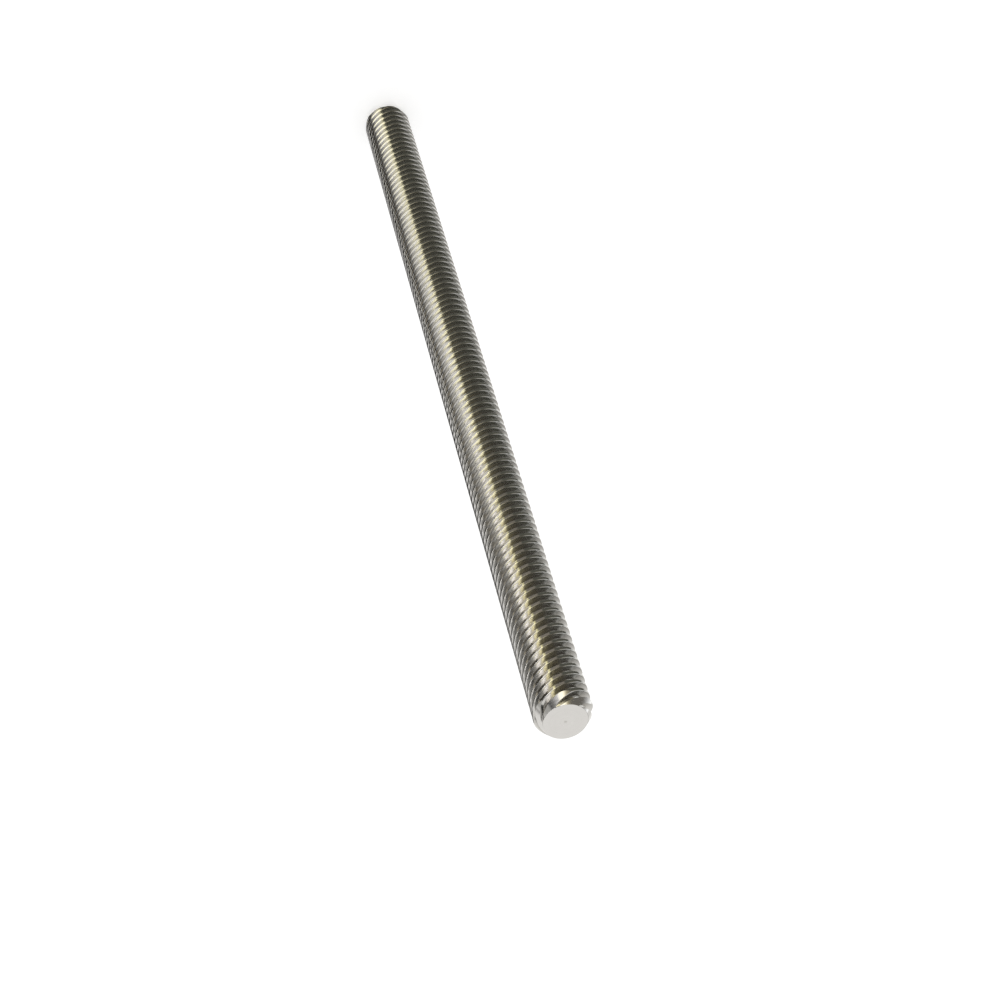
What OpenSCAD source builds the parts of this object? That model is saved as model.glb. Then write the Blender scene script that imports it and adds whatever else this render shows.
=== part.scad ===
// Multi-start trapezoidal lead screw: one steel bar with a rolled thread along its whole
// length, cut square and chamfered at both ends. It stands on its lower end face, with its
// axis on Z and the origin at the centre of that face.

/* [Bar] */
// Length from end face to end face
screw_l = 200; // [60:10:220]
// Major diameter, over the crests of the thread
major_d = 10; // [9:0.5:16]

/* [Thread] */
// Distance along the axis from one ridge to the next
pitch = 2; // [2:0.25:3]
// Number of ridges that run side by side
starts = 6; // [1:1:8]
// Hand of the thread
hand = "right"; // [right, left]
// Lean of each flank from square to the axis, in degrees
flank_angle = 15; // [10:1:20]
// Extra depth of the groove, below half a pitch
root_clearance = 0.25; // [0.15:0.05:0.4]
// Direction in which a ridge crosses the lower end plane, in degrees
ridge_angle = 8; // [0:1:359]

/* [Ends] */
// Diameter of the flat end faces
face_d = 7.5; // [5:0.1:8]
// Length of each chamfer along the axis
chamfer_l = 1.95; // [1:0.05:3]

/* [Hidden] */

steel = [0.72, 0.71, 0.69];

// Thread profile: ridge and groove are equally wide at the pitch diameter
major_r = major_d / 2;
pitch_r = major_r - pitch / 4;
minor_r = major_r - pitch / 2 - root_clearance;
crest_w = pitch / 2 - 2 * (major_r - pitch_r) * tan(flank_angle);
root_w = pitch / 2 - 2 * (pitch_r - minor_r) * tan(flank_angle);
// One ridge as [height from its middle, radius], from its lower foot to its upper foot
ridge = [
    [(root_w - pitch) / 2, minor_r],
    [-crest_w / 2, major_r],
    [crest_w / 2, major_r],
    [(pitch - root_w) / 2, minor_r],
];
foot = 0;
last_point = len(ridge) - 1;

// The thread overruns both ends, which are then cut to shape
lead = starts * pitch;
thread_z = -lead - pitch;
spare_ridges = 3;
ridges = ceil((screw_l + lead) / pitch) + spare_ridges;
rows = ridges + starts + 1;

// Flat facets round the bar: as many as keep the whole thread within its triangles
thread_triangles = 11400;
ridge_triangles = 2 * len(ridge);
most_facets = 36;
facets = min(most_facets, floor(thread_triangles * pitch / (ridge_triangles * screw_l)));
end_facets = 2 * facets;
// Part of a facet that the first one is turned by, so that the bar is as wide along X as along Y
facet_turn = 0.25;

face_r = face_d / 2;
clear = 2;
cutter_r = major_r + clear;
cutter_l = lead + (spare_ridges + 2) * pitch;
chamfer_slope = chamfer_l / (major_r - face_r);

function facet_angle(j) = (j + facet_turn) * 360 / facets;

// Height at which the middle of a row crosses facet j
function row_z(row, j) =
    let (turned = facet_angle(j) - ridge_angle % (360 / starts))
    thread_z + row * pitch + lead * turned / 360;

function thread_point(row, j, k) =
    let (a = facet_angle(j), r = ridge[k][1])
    [r * cos(a), r * sin(a), row_z(row, j) + ridge[k][0]];

// Place of a point in the list. A row that has gone once round runs on as the row that
// lies one lead above it.
function at(row, j, k) =
    j == facets ? at(row + starts, 0, k) : (row * facets + j) * len(ridge) + k;

// The thread as one closed solid. Each end of it is a spiral ramp round the axis, with one
// upright riser where the ramp comes round to its start.
module thread() {
    low = 0;
    high = ridges;
    surface = [
        for (row = [0 : rows - 1], j = [0 : facets - 1], k = [foot : last_point])
            thread_point(row, j, k)
    ];
    axis = [
        for (row = [low, high], j = [0 : facets])
            [0, 0, row_z(row, j) + ridge[foot][0]]
    ];
    low_axis = len(surface);
    high_axis = low_axis + facets + 1;

    ridge_faces = [
        for (row = [low : high - 1], j = [0 : facets - 1], k = [foot : last_point - 1])
            [at(row, j, k), at(row, j, k + 1), at(row, j + 1, k + 1), at(row, j + 1, k)]
    ];
    root_faces = [
        for (row = [low : high - 1], j = [0 : facets - 1])
            [
                at(row, j, last_point), at(row + 1, j, foot),
                at(row + 1, j + 1, foot), at(row, j + 1, last_point)
            ]
    ];
    low_ramp = [
        for (j = [0 : facets - 1])
            [low_axis + j, at(low, j, foot), at(low, j + 1, foot), low_axis + j + 1]
    ];
    high_ramp = [
        for (j = [0 : facets - 1])
            [high_axis + j + 1, at(high, j + 1, foot), at(high, j, foot), high_axis + j]
    ];
    low_riser = [
        for (j = [0 : facets]) low_axis + j,
        at(low + starts, 0, foot),
        for (row = [low + starts - 1 : -1 : low], k = [last_point : -1 : foot]) at(row, 0, k),
    ];
    high_riser = [
        for (j = [facets : -1 : 0]) high_axis + j,
        for (row = [high : high + starts - 1], k = [foot : last_point]) at(row, 0, k),
        at(high + starts, 0, foot),
    ];
    polyhedron(
        points = concat(surface, axis),
        faces = concat(
            ridge_faces, root_faces, low_ramp, high_ramp, [low_riser], [high_riser]
        )
    );
}

// All that lies below the lower end face or outside its chamfer
module end_cutter() {
    rotate_extrude($fn = end_facets)
        polygon([
            [0, 0],
            [face_r, 0],
            [cutter_r, chamfer_slope * (cutter_r - face_r)],
            [cutter_r, -cutter_l],
            [0, -cutter_l],
        ]);
}

// Sized to its own length, which changes nothing but makes one mesh of the cut thread
module lead_screw() {
    color(steel)
        resize([0, 0, screw_l])
            difference() {
                mirror([0, hand == "left" ? 1 : 0, 0])
                    thread();
                end_cutter();
                translate([0, 0, screw_l])
                    mirror([0, 0, 1])
                        end_cutter();
            }
}

lead_screw();
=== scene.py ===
"""Looks of the trapezoidal lead screw: a finely divided rolled thread, its steel, and a small
studio."""

import cmath
import math

import bpy
import numpy as np
from mathutils import Matrix, Vector


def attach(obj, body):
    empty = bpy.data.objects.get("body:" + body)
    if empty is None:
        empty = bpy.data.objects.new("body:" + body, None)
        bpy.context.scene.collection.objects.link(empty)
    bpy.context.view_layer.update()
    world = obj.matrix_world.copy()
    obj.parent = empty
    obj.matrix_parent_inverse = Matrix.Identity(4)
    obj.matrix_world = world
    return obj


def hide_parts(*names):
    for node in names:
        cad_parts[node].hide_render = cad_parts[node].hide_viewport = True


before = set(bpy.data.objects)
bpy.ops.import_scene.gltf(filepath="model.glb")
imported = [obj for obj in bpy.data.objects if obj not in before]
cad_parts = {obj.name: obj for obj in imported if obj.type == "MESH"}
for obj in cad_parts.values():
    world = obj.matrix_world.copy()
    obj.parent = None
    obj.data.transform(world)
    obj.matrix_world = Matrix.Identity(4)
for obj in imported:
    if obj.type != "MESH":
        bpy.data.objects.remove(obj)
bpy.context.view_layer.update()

MM = 0.001

# The sizes of part.scad, in millimetres
LENGTH = 200.0
MAJOR_R = 5.0
PITCH = 2.0
STARTS = 6
LEAD = STARTS * PITCH
FLANK = math.radians(15)
ROOT_CLEARANCE = 0.25
RIDGE_ANGLE = math.radians(8)
FACE_R = 3.75
CHAMFER = 1.95

MINOR_R = MAJOR_R - PITCH / 2 - ROOT_CLEARANCE
CREST_W = PITCH / 2 - PITCH / 2 * math.tan(FLANK)
FOOT_W = CREST_W + 2 * (MAJOR_R - MINOR_R) * math.tan(FLANK)

# Roundings, and how finely the bar is divided
CREST_ROUND = 0.16
ROOT_ROUND = 0.22
EDGE_ROUND = 0.10
CREST_STEPS = 2
ROOT_STEPS = 1
EDGE_STEPS = 3
SEGMENTS = 90
END_SEGMENTS = 240

# How far the uncut thread reaches past the crests and the ends before it is cut to length
CLEAR = 1.0
SPARE_RIDGES = 2

# The bar's material slots
THREAD, TURNED = 0, 1


def rounded(points, radii, counts):
    """An open line of complex points with its inner corners turned into arcs of so many steps.
    Gives the new points and, for each stretch between two, the normals at its start and end,
    to the left of the way the line runs."""
    ways = [(b - a) / abs(b - a) for a, b in zip(points, points[1:])]
    line, normals = [points[0]], []
    for corner, way, onward, radius, count in zip(points[1:], ways, ways[1:], radii, counts):
        turn = cmath.phase(onward / way)
        to_centre = math.copysign(radius, turn)
        first = corner - way * radius * math.tan(abs(turn) / 2)
        centre = first + to_centre * way * 1j
        line.append(first)
        normals.append((way * 1j, way * 1j))
        for k in range(count):
            start = way * 1j * cmath.rect(1, turn * k / count)
            end = way * 1j * cmath.rect(1, turn * (k + 1) / count)
            line.append(centre - to_centre * end)
            normals.append((start, end))
    line.append(points[-1])
    normals.append((ways[-1] * 1j, ways[-1] * 1j))
    return line, normals


def ridge_profile():
    """One ridge as height from its middle + radius j, from the middle of one root to the next."""
    foot, crest = FOOT_W / 2 + MINOR_R * 1j, CREST_W / 2 + MAJOR_R * 1j
    points = [
        -PITCH / 2 + MINOR_R * 1j, -foot.conjugate(), -crest.conjugate(),
        crest, foot, PITCH / 2 + MINOR_R * 1j,
    ]
    radii = [ROOT_ROUND, CREST_ROUND, CREST_ROUND, ROOT_ROUND]
    return rounded(points, radii, [ROOT_STEPS, CREST_STEPS, CREST_STEPS, ROOT_STEPS])


def end_profile():
    """The round form that the thread is cut to, as radius + height j, from its top to its foot:
    two flat ends, their chamfers, and clear of the crests between."""
    over = MAJOR_R + CLEAR
    deep = CHAMFER * (over - FACE_R) / (MAJOR_R - FACE_R)
    top = LENGTH * 1j
    points = [top, FACE_R + top, over + top - deep * 1j, over + deep * 1j, FACE_R, 0]
    return rounded(points, [EDGE_ROUND, 0, 0, EDGE_ROUND], [EDGE_STEPS, 0, 0, EDGE_STEPS])


def mesh_object(name, verts, faces, materials, index):
    mesh = bpy.data.meshes.new(name)
    mesh.from_pydata(verts, [], faces)
    for material in materials:
        mesh.materials.append(material)
    mesh.polygons.foreach_set("material_index", [index] * len(mesh.polygons))
    mesh.update()
    obj = bpy.data.objects.new(name, mesh)
    bpy.context.collection.objects.link(obj)
    return obj


def long_thread(materials):
    """The thread alone, running past both ends of the bar, each closed by a fan to the axis."""
    profile = ridge_profile()[0][1:-1]
    count = len(profile)
    low = -STARTS - SPARE_RIDGES
    high = int(LENGTH / PITCH) + SPARE_RIDGES
    rows = high - low
    column = (rows + STARTS) * count
    verts = []
    for j in range(SEGMENTS):
        turned = j / SEGMENTS
        around = cmath.rect(MM, 2 * math.pi * turned + RIDGE_ANGLE)
        for row in range(low, high + STARTS):
            middle = row * PITCH + LEAD * turned
            verts += [
                (p.imag * around.real, p.imag * around.imag, (middle + p.real) * MM)
                for p in profile
            ]

    def at(j, i):
        """Point i of column j. After a full turn it is the first column, one lead higher."""
        return i + STARTS * count if j == SEGMENTS else j * column + i

    last = rows * count - 1
    faces = [
        (at(j, i), at(j + 1, i), at(j + 1, i + 1), at(j, i + 1))
        for j in range(SEGMENTS) for i in range(last)
    ]
    bottom = len(verts)
    verts.append((0, 0, (low - 1) * PITCH * MM))
    verts.append((0, 0, (high + STARTS + 1) * PITCH * MM))
    low_edge = [at(j, 0) for j in range(SEGMENTS)]
    low_edge += range(STARTS * count, 0, -1)
    high_edge = [at(j, last) for j in range(SEGMENTS)]
    high_edge += range(last + STARTS * count, last, -1)
    for edge, tip, step in ((low_edge, bottom, -1), (high_edge, bottom + 1, 1)):
        faces += [(tip, a, b)[::step] for a, b in zip(edge, edge[1:] + edge[:1])]
    return mesh_object("thread", verts, faces, materials, THREAD)


def envelope(materials):
    """The solid of revolution that the thread is cut to, its chamfers and its flat ends."""
    outline = end_profile()[0][1:-1]
    count = len(outline)
    verts = []
    for j in range(END_SEGMENTS):
        around = cmath.rect(MM, 2 * math.pi * j / END_SEGMENTS)
        verts += [(p.real * around.real, p.real * around.imag, p.imag * MM) for p in outline]
    rings = [j * count for j in range(END_SEGMENTS)]
    faces = [
        (here + i, here + i + 1, there + i + 1, there + i)
        for here, there in zip(rings, rings[1:] + rings[:1]) for i in range(count - 1)
    ]
    faces.append(rings)
    faces.append([ring + count - 1 for ring in reversed(rings)])
    return mesh_object("envelope", verts, faces, materials, TURNED)


def read(collection, name, width, kind=float):
    """One attribute of every item of a mesh, as an array."""
    values = np.empty(len(collection) * width, kind)
    collection.foreach_get(name, values)
    return values.reshape(-1, width) if width > 1 else values


def true_normals(mesh):
    """Each corner of each face gets the normal of the true curved form there."""
    corner_vertex = read(mesh.loops, "vertex_index", 1, int)
    sides = read(mesh.polygons, "loop_total", 1, int)
    face = np.repeat(np.arange(len(sides)), sides)
    turned = read(mesh.polygons, "material_index", 1, int)[face] == TURNED
    where = read(mesh.vertices, "co", 3)[corner_vertex] / MM
    middle = (np.add.reduceat(where, np.r_[0, np.cumsum(sides)[:-1]]) / sides[:, None])[face]

    def polar(points):
        return np.hypot(points[:, 0], points[:, 1]), np.arctan2(points[:, 1], points[:, 0])

    radius, angle = polar(where)
    middle_radius, middle_angle = polar(middle)
    apart = (angle - middle_angle + np.pi) % (2 * np.pi) - np.pi
    per_radian = LEAD / (2 * np.pi)

    # Height in the ridge's own profile, for the thread
    climb = middle[:, 2] - per_radian * (middle_angle - RIDGE_ANGLE)
    middle_u = (climb + PITCH / 2) % PITCH - PITCH / 2
    u = middle_u + where[:, 2] - middle[:, 2] - per_radian * apart
    line, normals = ridge_profile()
    starts = np.array([p.real for p in line])
    stretch = np.clip(np.searchsorted(starts, middle_u, side="right") - 1, 0, len(normals) - 1)
    share = np.clip((u - starts[stretch]) / (starts[stretch + 1] - starts[stretch]), 0, 1)
    ends = np.array(normals)[stretch]
    thread = ends[:, 0] * (1 - share) + ends[:, 1] * share

    # The nearest stretch of the outline, for the turned ends
    line, normals = end_profile()
    line = np.array(line)
    way = line[1:] - line[:-1]
    centre = middle_radius + middle[:, 2] * 1j
    along = np.clip(((centre[:, None] - line[:-1]) / way).real, 0, 1)
    stretch = np.argmin(abs(line[:-1] + along * way - centre[:, None]), axis=1)
    point = radius + where[:, 2] * 1j
    share = np.clip(((point - line[stretch]) / way[stretch]).real, 0, 1)
    ends = np.array(normals)[stretch]
    end = ends[:, 0] * (1 - share) + ends[:, 1] * share

    up = np.where(turned, end.imag, thread.real)
    out = np.where(turned, end.real, thread.imag)
    off_zero = np.maximum(radius, 1)  # only the turned faces reach the axis, and they don't climb
    round_about = np.where(turned, 0, -thread.real * per_radian / off_zero)
    across = np.stack([np.cos(angle), np.sin(angle)])
    normal = np.stack([
        out * across[0] - round_about * across[1], out * across[1] + round_about * across[0], up,
    ], axis=1)
    normal /= np.linalg.norm(normal, axis=1)[:, None]
    mesh.polygons.foreach_set("use_smooth", [True] * len(mesh.polygons))
    mesh.normals_split_custom_set(normal.tolist())


def lead_screw(materials):
    """The whole bar: the long thread cut to the envelope, with exact normals."""
    bar = long_thread(materials)
    cutter = envelope(materials)
    cut = bar.modifiers.new("ends", "BOOLEAN")
    cut.operation = "INTERSECT"
    cut.solver = "MANIFOLD"
    cut.object = cutter
    cut.material_mode = "INDEX"
    evaluated = bar.evaluated_get(bpy.context.evaluated_depsgraph_get())
    done = bpy.data.meshes.new_from_object(evaluated)
    bar.modifiers.clear()
    bar.data = done
    bar.name = "lead_screw_bar"
    bpy.data.objects.remove(cutter)
    true_normals(bar.data)
    return bar


class Shader:
    """Short names for the nodes of one node tree."""

    def __init__(self, tree):
        self.nodes, self.links = tree.nodes, tree.links

    def add(self, kind, inputs=(), **settings):
        node = self.nodes.new("ShaderNode" + kind)
        for name, value in settings.items():
            setattr(node, name, value)
        for name, value in dict(inputs).items():
            if isinstance(value, bpy.types.NodeSocket):
                self.links.new(value, node.inputs[name])
            else:
                node.inputs[name].default_value = value
        return node

    def math(self, operation, *values):
        return self.add("Math", dict(enumerate(values)), operation=operation).outputs[0]

    def step(self, value, low, high):
        """Rises smoothly from 0 at low to 1 at high."""
        inputs = {"Value": value, "From Min": low, "From Max": high}
        return self.add("MapRange", inputs, interpolation_type="SMOOTHSTEP").outputs[0]

    def spread(self, value, low, high, to_low, to_high):
        """Takes low to high over to the new pair, and holds it there beyond them."""
        inputs = {
            "Value": value, "From Min": low, "From Max": high, "To Min": to_low, "To Max": to_high,
        }
        return self.add("MapRange", inputs).outputs[0]

    def band(self, value, low, high, soft):
        """1 from low to high and 0 outside, with edges so soft."""
        rise = self.step(value, low - soft / 2, low + soft / 2)
        fall = self.step(value, high - soft / 2, high + soft / 2)
        return self.math("SUBTRACT", rise, fall)

    def mix(self, share, under, over):
        """Two colours mixed. The Mix node's colour sockets have numbers, as their names repeat."""
        return self.add("Mix", {0: share, 6: under, 7: over}, data_type="RGBA").outputs[2]

    def place(self):
        """The place on the object, and the same as its X, Y and Z."""
        place = self.add("TexCoord").outputs["Object"]
        return place, self.add("SeparateXYZ", {0: place}).outputs

    def off_axis(self, way):
        """The distance from the bar's axis."""
        squares = [self.math("POWER", way[axis], 2.0) for axis in "XY"]
        return self.math("SQRT", self.math("ADD", *squares))

    def noise(self, dimensions="3D", **inputs):
        return self.add("TexNoise", inputs, noise_dimensions=dimensions).outputs[0]

    def blend(self, one, share, other, rest):
        """Two values added in these shares."""
        return self.math(
            "ADD", self.math("MULTIPLY", one, share), self.math("MULTIPLY", other, rest)
        )


# How deep the marks of rolling and turning are
MARK_DEPTH = 0.02 * MM


def steel(name, draw):
    """A steel whose colour, roughness and bump height come from draw."""
    material = bpy.data.materials.new(name)
    material.use_nodes = True
    m = Shader(material.node_tree)
    surface = m.nodes["Principled BSDF"].inputs
    surface["Metallic"].default_value = 1
    colour, rough, height, strength = draw(m)
    m.links.new(colour, surface["Base Color"])
    m.links.new(rough, surface["Roughness"])
    bump = m.add("Bump", {"Height": height, "Strength": strength, "Distance": MARK_DEPTH})
    m.links.new(bump.outputs[0], surface["Normal"])
    return material


# Both steels are made of noise, whose scales are grains a metre. Of each pair of colours or
# roughnesses the first is for low noise and the second for high.
ROLLED_DARK, ROLLED_LIGHT = (0.59, 0.585, 0.575, 1), (0.65, 0.648, 0.64, 1)
# Painted shade in the grooves: this darker, warmer colour is mixed in up to this share toward the
# root
PAINTED_GROOVE_SHADE = (0.50, 0.48, 0.44, 1)
GROOVE_END, CREST_START = (MINOR_R + 0.2) * MM, (MAJOR_R - 0.1) * MM
GROOVE_SHADE_SHARE = 0.35
GROOVE_DULL = 0.05
LINE_SCALE = 9000
LINE_STRETCH = 0.012
LINE_ROUGHNESS = 0.6
LINE_DULL = 0.04
ROLLED_CLOUD = 420
ROLLED_CLOUD_RANGE = 0.35, 0.65
ROLLED_POLISH = 0.05, 0.09
ROLLED_BUMP = 0.06


def rolled_steel(m):
    """The thread: fine lines that run along the ridges, as the rollers draw the metal, a cloudy
    polish, grooves a little duller than the crests, and painted shade that darkens the grooves."""
    place, way = m.place()
    untwist = m.math("MULTIPLY", way["Z"], -2 * math.pi / (LEAD * MM))
    turned = {"Vector": place, "Angle": untwist}
    straight = m.add("VectorRotate", turned, rotation_type="Z_AXIS").outputs[0]
    # In this place each ridge runs straight up, so a long narrow grain follows it
    drawn = m.add("VectorMath", {0: straight, 1: (1, 1, LINE_STRETCH)}, operation="MULTIPLY")
    grain = m.noise(Vector=drawn.outputs[0], Scale=LINE_SCALE, Detail=2, Roughness=LINE_ROUGHNESS)
    cloud = m.noise(Vector=place, Scale=ROLLED_CLOUD, Detail=3)
    crest = m.step(m.off_axis(way), GROOVE_END, CREST_START)
    groove = m.math("SUBTRACT", 1.0, crest)
    colour = m.mix(cloud, ROLLED_DARK, ROLLED_LIGHT)
    # Painted shade: the colour is darkened toward the root of each groove
    colour = m.mix(m.math("MULTIPLY", groove, GROOVE_SHADE_SHARE), colour, PAINTED_GROOVE_SHADE)
    polish = m.spread(cloud, *ROLLED_CLOUD_RANGE, *ROLLED_POLISH)
    rough = m.math("ADD", polish, m.math("MULTIPLY", groove, GROOVE_DULL))
    rough = m.math("ADD", rough, m.math("MULTIPLY", grain, LINE_DULL))
    return colour, rough, grain, ROLLED_BUMP


TURNED_DARK, TURNED_LIGHT = (0.645, 0.64, 0.635, 1), (0.755, 0.75, 0.75, 1)
FEED_SCALE = 6500
BROAD_SCALE = 1300
FEED_SHARE = 0.4
RING_SHARE = 0.6
TURNED_CLOUD = 500
PIP = (0.40, 0.39, 0.36, 1)
PIP_INNER, PIP_OUTER = 0.1 * MM, 0.4 * MM
PIP_TINT = 0.45
PIP_DULL = 0.15
TONE_RANGE = 0.3, 0.7
TURNED_POLISH = 0.10, 0.20
TURNED_BUMP = 0.15


def turned_steel(m):
    """The ends: the tool's fine rings, and the small dull pip where it met the axis."""
    place, way = m.place()
    out = m.off_axis(way)
    feed = m.noise("1D", W=out, Scale=FEED_SCALE, Detail=2)
    broad = m.noise("1D", W=out, Scale=BROAD_SCALE, Detail=1)
    cloud = m.noise(Vector=place, Scale=TURNED_CLOUD, Detail=4)
    pip = m.math("SUBTRACT", 1.0, m.step(out, PIP_INNER, PIP_OUTER))
    rings = m.blend(feed, FEED_SHARE, broad, 1 - FEED_SHARE)
    tone = m.blend(rings, RING_SHARE, cloud, 1 - RING_SHARE)
    colour = m.mix(tone, TURNED_DARK, TURNED_LIGHT)
    colour = m.mix(m.math("MULTIPLY", pip, PIP_TINT), colour, PIP)
    rough = m.spread(tone, *TONE_RANGE, *TURNED_POLISH)
    rough = m.math("ADD", rough, m.math("MULTIPLY", pip, PIP_DULL))
    return colour, rough, rings, TURNED_BUMP


# The light on all but the metal, and what the metal sees round it, which is a pale room with
# soft-edged panels. Each has its bearing from -Y toward -X, from and to; its height over the
# horizon, from and to; the width of its soft edge; its lean, as bearing for each degree of
# height; and its colour. Degrees throughout. Later ones lie over earlier ones.
PLAIN = (0.8, 0.8, 0.8, 1)
ROOM = (0.95, 0.93, 0.89)
PANELS = {
    "left_far": (-111, -60, 4, 70, 6, 0.8, (0.00, 0.00, 0.00)),
    "left_top": (-75, -33, 20, 62, 5, 0.2, (1.81, 1.79, 1.83)),
    "left_side": (-74, -40, -36, 9, 8, 0.6, (3.06, 2.93, 2.69)),
    "left_mid": (-75, -41, -10, 51, 11, 0.3, (0.47, 0.46, 0.43)),
    "right": (90, 129, -51, 25, 8, 0.1, (2.06, 2.08, 2.06)),
    "mid_right": (20, 88, -28, 55, 15, 0.3, (0.48, 0.42, 0.26)),
    "ledge": (38, 160, -8, 26, 25, -0.3, (0.17, 0.16, 0.14)),
    "black_top": (-34, 73, 41, 78, 5, 0.1, (0.00, 0.00, 0.00)),
    "warm": (21, 63, 31, 40, 6, 0.4, (3.76, 3.42, 2.12)),
    "blue": (39, 117, 30, 47, 11, 0.6, (0.01, 0.00, 0.00)),
    "window": (-8, 16, 26, 44, 20, 0.8, (4.65, 4.50, 4.48)),
    "pale": (12, 29, -3, 26, 19, -0.8, (2.00, 1.85, 1.37)),
    "strip": (-4, 9, -51, -4, 5, 0.2, (2.80, 2.55, 1.39)),
    "dark_mid": (6, 61, -51, -11, 7, 0.0, (0.00, 0.01, 0.02)),
    "low_dark": (-14, 119, -86, -26, 25, 0.8, (0.11, 0.11, 0.09)),
    "low_brown": (2, 39, -51, -40, 7, 0.5, (0.28, 0.25, 0.21)),
    "low_left": (-86, -9, -51, -33, 7, 0.2, (0.58, 0.52, 0.41)),
    "low_far": (-185, -78, -72, -40, 25, -0.7, (0.00, 0.00, 0.00)),
    "floor": (-74, -12, -78, -61, 12, 0.4, (3.04, 2.86, 1.96)),
    "upright": (-59, -17, -49, 21, 11, 0.5, (0.00, 0.00, 0.00)),
}


def studio_world():
    """White behind everything and plain light on the rest; the metal sees the room of panels."""
    world = bpy.data.worlds.new("studio")
    bpy.context.scene.world = world
    world.use_nodes = True
    # Glossy rays alone see the panels, so the world isn't sampled as a lamp
    world.cycles.sampling_method = "NONE"
    world.node_tree.nodes.clear()
    w = Shader(world.node_tree)
    way = w.add("SeparateXYZ", {0: w.add("TexCoord").outputs["Generated"]}).outputs
    west = w.math("MULTIPLY", way["X"], -1.0)
    south = w.math("MULTIPLY", way["Y"], -1.0)
    bearing = w.math("DEGREES", w.math("ARCTAN2", west, south))
    height = w.math("DEGREES", w.math("ARCSINE", way["Z"]))
    seen = (*ROOM, 1)
    for start, end, low, high, soft, lean, colour in PANELS.values():
        aside = w.math("MULTIPLY", w.math("SUBTRACT", height, (low + high) / 2), lean)
        across = w.band(w.math("SUBTRACT", bearing, aside), start, end, soft)
        share = w.math("MULTIPLY", across, w.band(height, low, high, soft))
        seen = w.mix(share, seen, (*colour, 1))
    path = w.add("LightPath").outputs
    light = w.mix(path["Is Glossy Ray"], PLAIN, seen)
    behind = w.mix(path["Is Camera Ray"], light, (1, 1, 1, 1))
    background = w.add("Background", {"Color": behind})
    w.add("OutputWorld", {"Surface": background.outputs[0]})


FLOOR_HALF = 4.0
FLOOR_COLOUR = (0.85, 0.85, 0.85, 1)
FLOOR_GLOW = 0.42


def floor():
    """A pale floor. What it glows with only the camera sees, so it looks white but for the
    shadow."""
    material = bpy.data.materials.new("floor_white")
    material.use_nodes = True
    f = Shader(material.node_tree)
    f.nodes.clear()
    diffuse = f.add("BsdfDiffuse", {"Color": FLOOR_COLOUR})
    strength = f.math("MULTIPLY", f.add("LightPath").outputs["Is Camera Ray"], FLOOR_GLOW)
    glow = f.add("Emission", {"Strength": strength})
    both = f.add("AddShader", {0: diffuse.outputs[0], 1: glow.outputs[0]})
    f.add("OutputMaterial", {"Surface": both.outputs[0]})
    corners = [(x * FLOOR_HALF, y * FLOOR_HALF, 0) for x, y in ((-1, -1), (1, -1), (1, 1), (-1, 1))]
    obj = mesh_object("floor", corners, [(0, 1, 2, 3)], [material], 0)
    obj.visible_glossy = False


# The photograph's camera, fitted to the outline and the thread for a focal length of 2300
# pixels, which was picked because it makes the bar 20 diameters long: x to the right, y down and
# z forward, in units of the bar's radius. TOP is the middle of the near end face, DOWN the way
# along the axis to the far end. FOCAL is in widths of the picture.
FOCAL = 2300 / 1000
SENSOR = 36
TOP = Vector((2.10289, 7.11609, 73.79052))
DOWN = Vector((-0.18219, -0.60866, 0.77223)).normalized()


def camera():
    """Stands where the photograph's camera would, with the bar upright on its far end."""
    toward = -(TOP + DOWN * LENGTH / MAJOR_R / 2)
    toward = (toward - DOWN * toward.dot(DOWN)).normalized()
    sideways = DOWN.cross(toward)
    # Rows turn the camera's axes into the row's: X is -sideways, Y -toward, Z -DOWN
    turn = Matrix((-sideways, -toward, -DOWN))
    place = Vector((0, 0, LENGTH)) - turn @ TOP * MAJOR_R
    flip = Matrix(((1, 0, 0), (0, -1, 0), (0, 0, -1)))
    data = bpy.data.cameras.new("camera")
    data.sensor_width = SENSOR
    data.lens = FOCAL * SENSOR
    data.clip_start = 0.01
    data.clip_end = 20
    obj = bpy.data.objects.new("camera", data)
    bpy.context.collection.objects.link(obj)
    obj.matrix_world = Matrix.Translation(place * MM) @ (turn @ flip).to_4x4()
    bpy.context.scene.camera = obj


bar = lead_screw([steel("rolled_steel", rolled_steel), steel("turned_steel", turned_steel)])
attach(bar, "root")
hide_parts("lead_screw")
studio_world()
floor()
camera()
bpy.context.scene.view_settings.view_transform = "Standard"
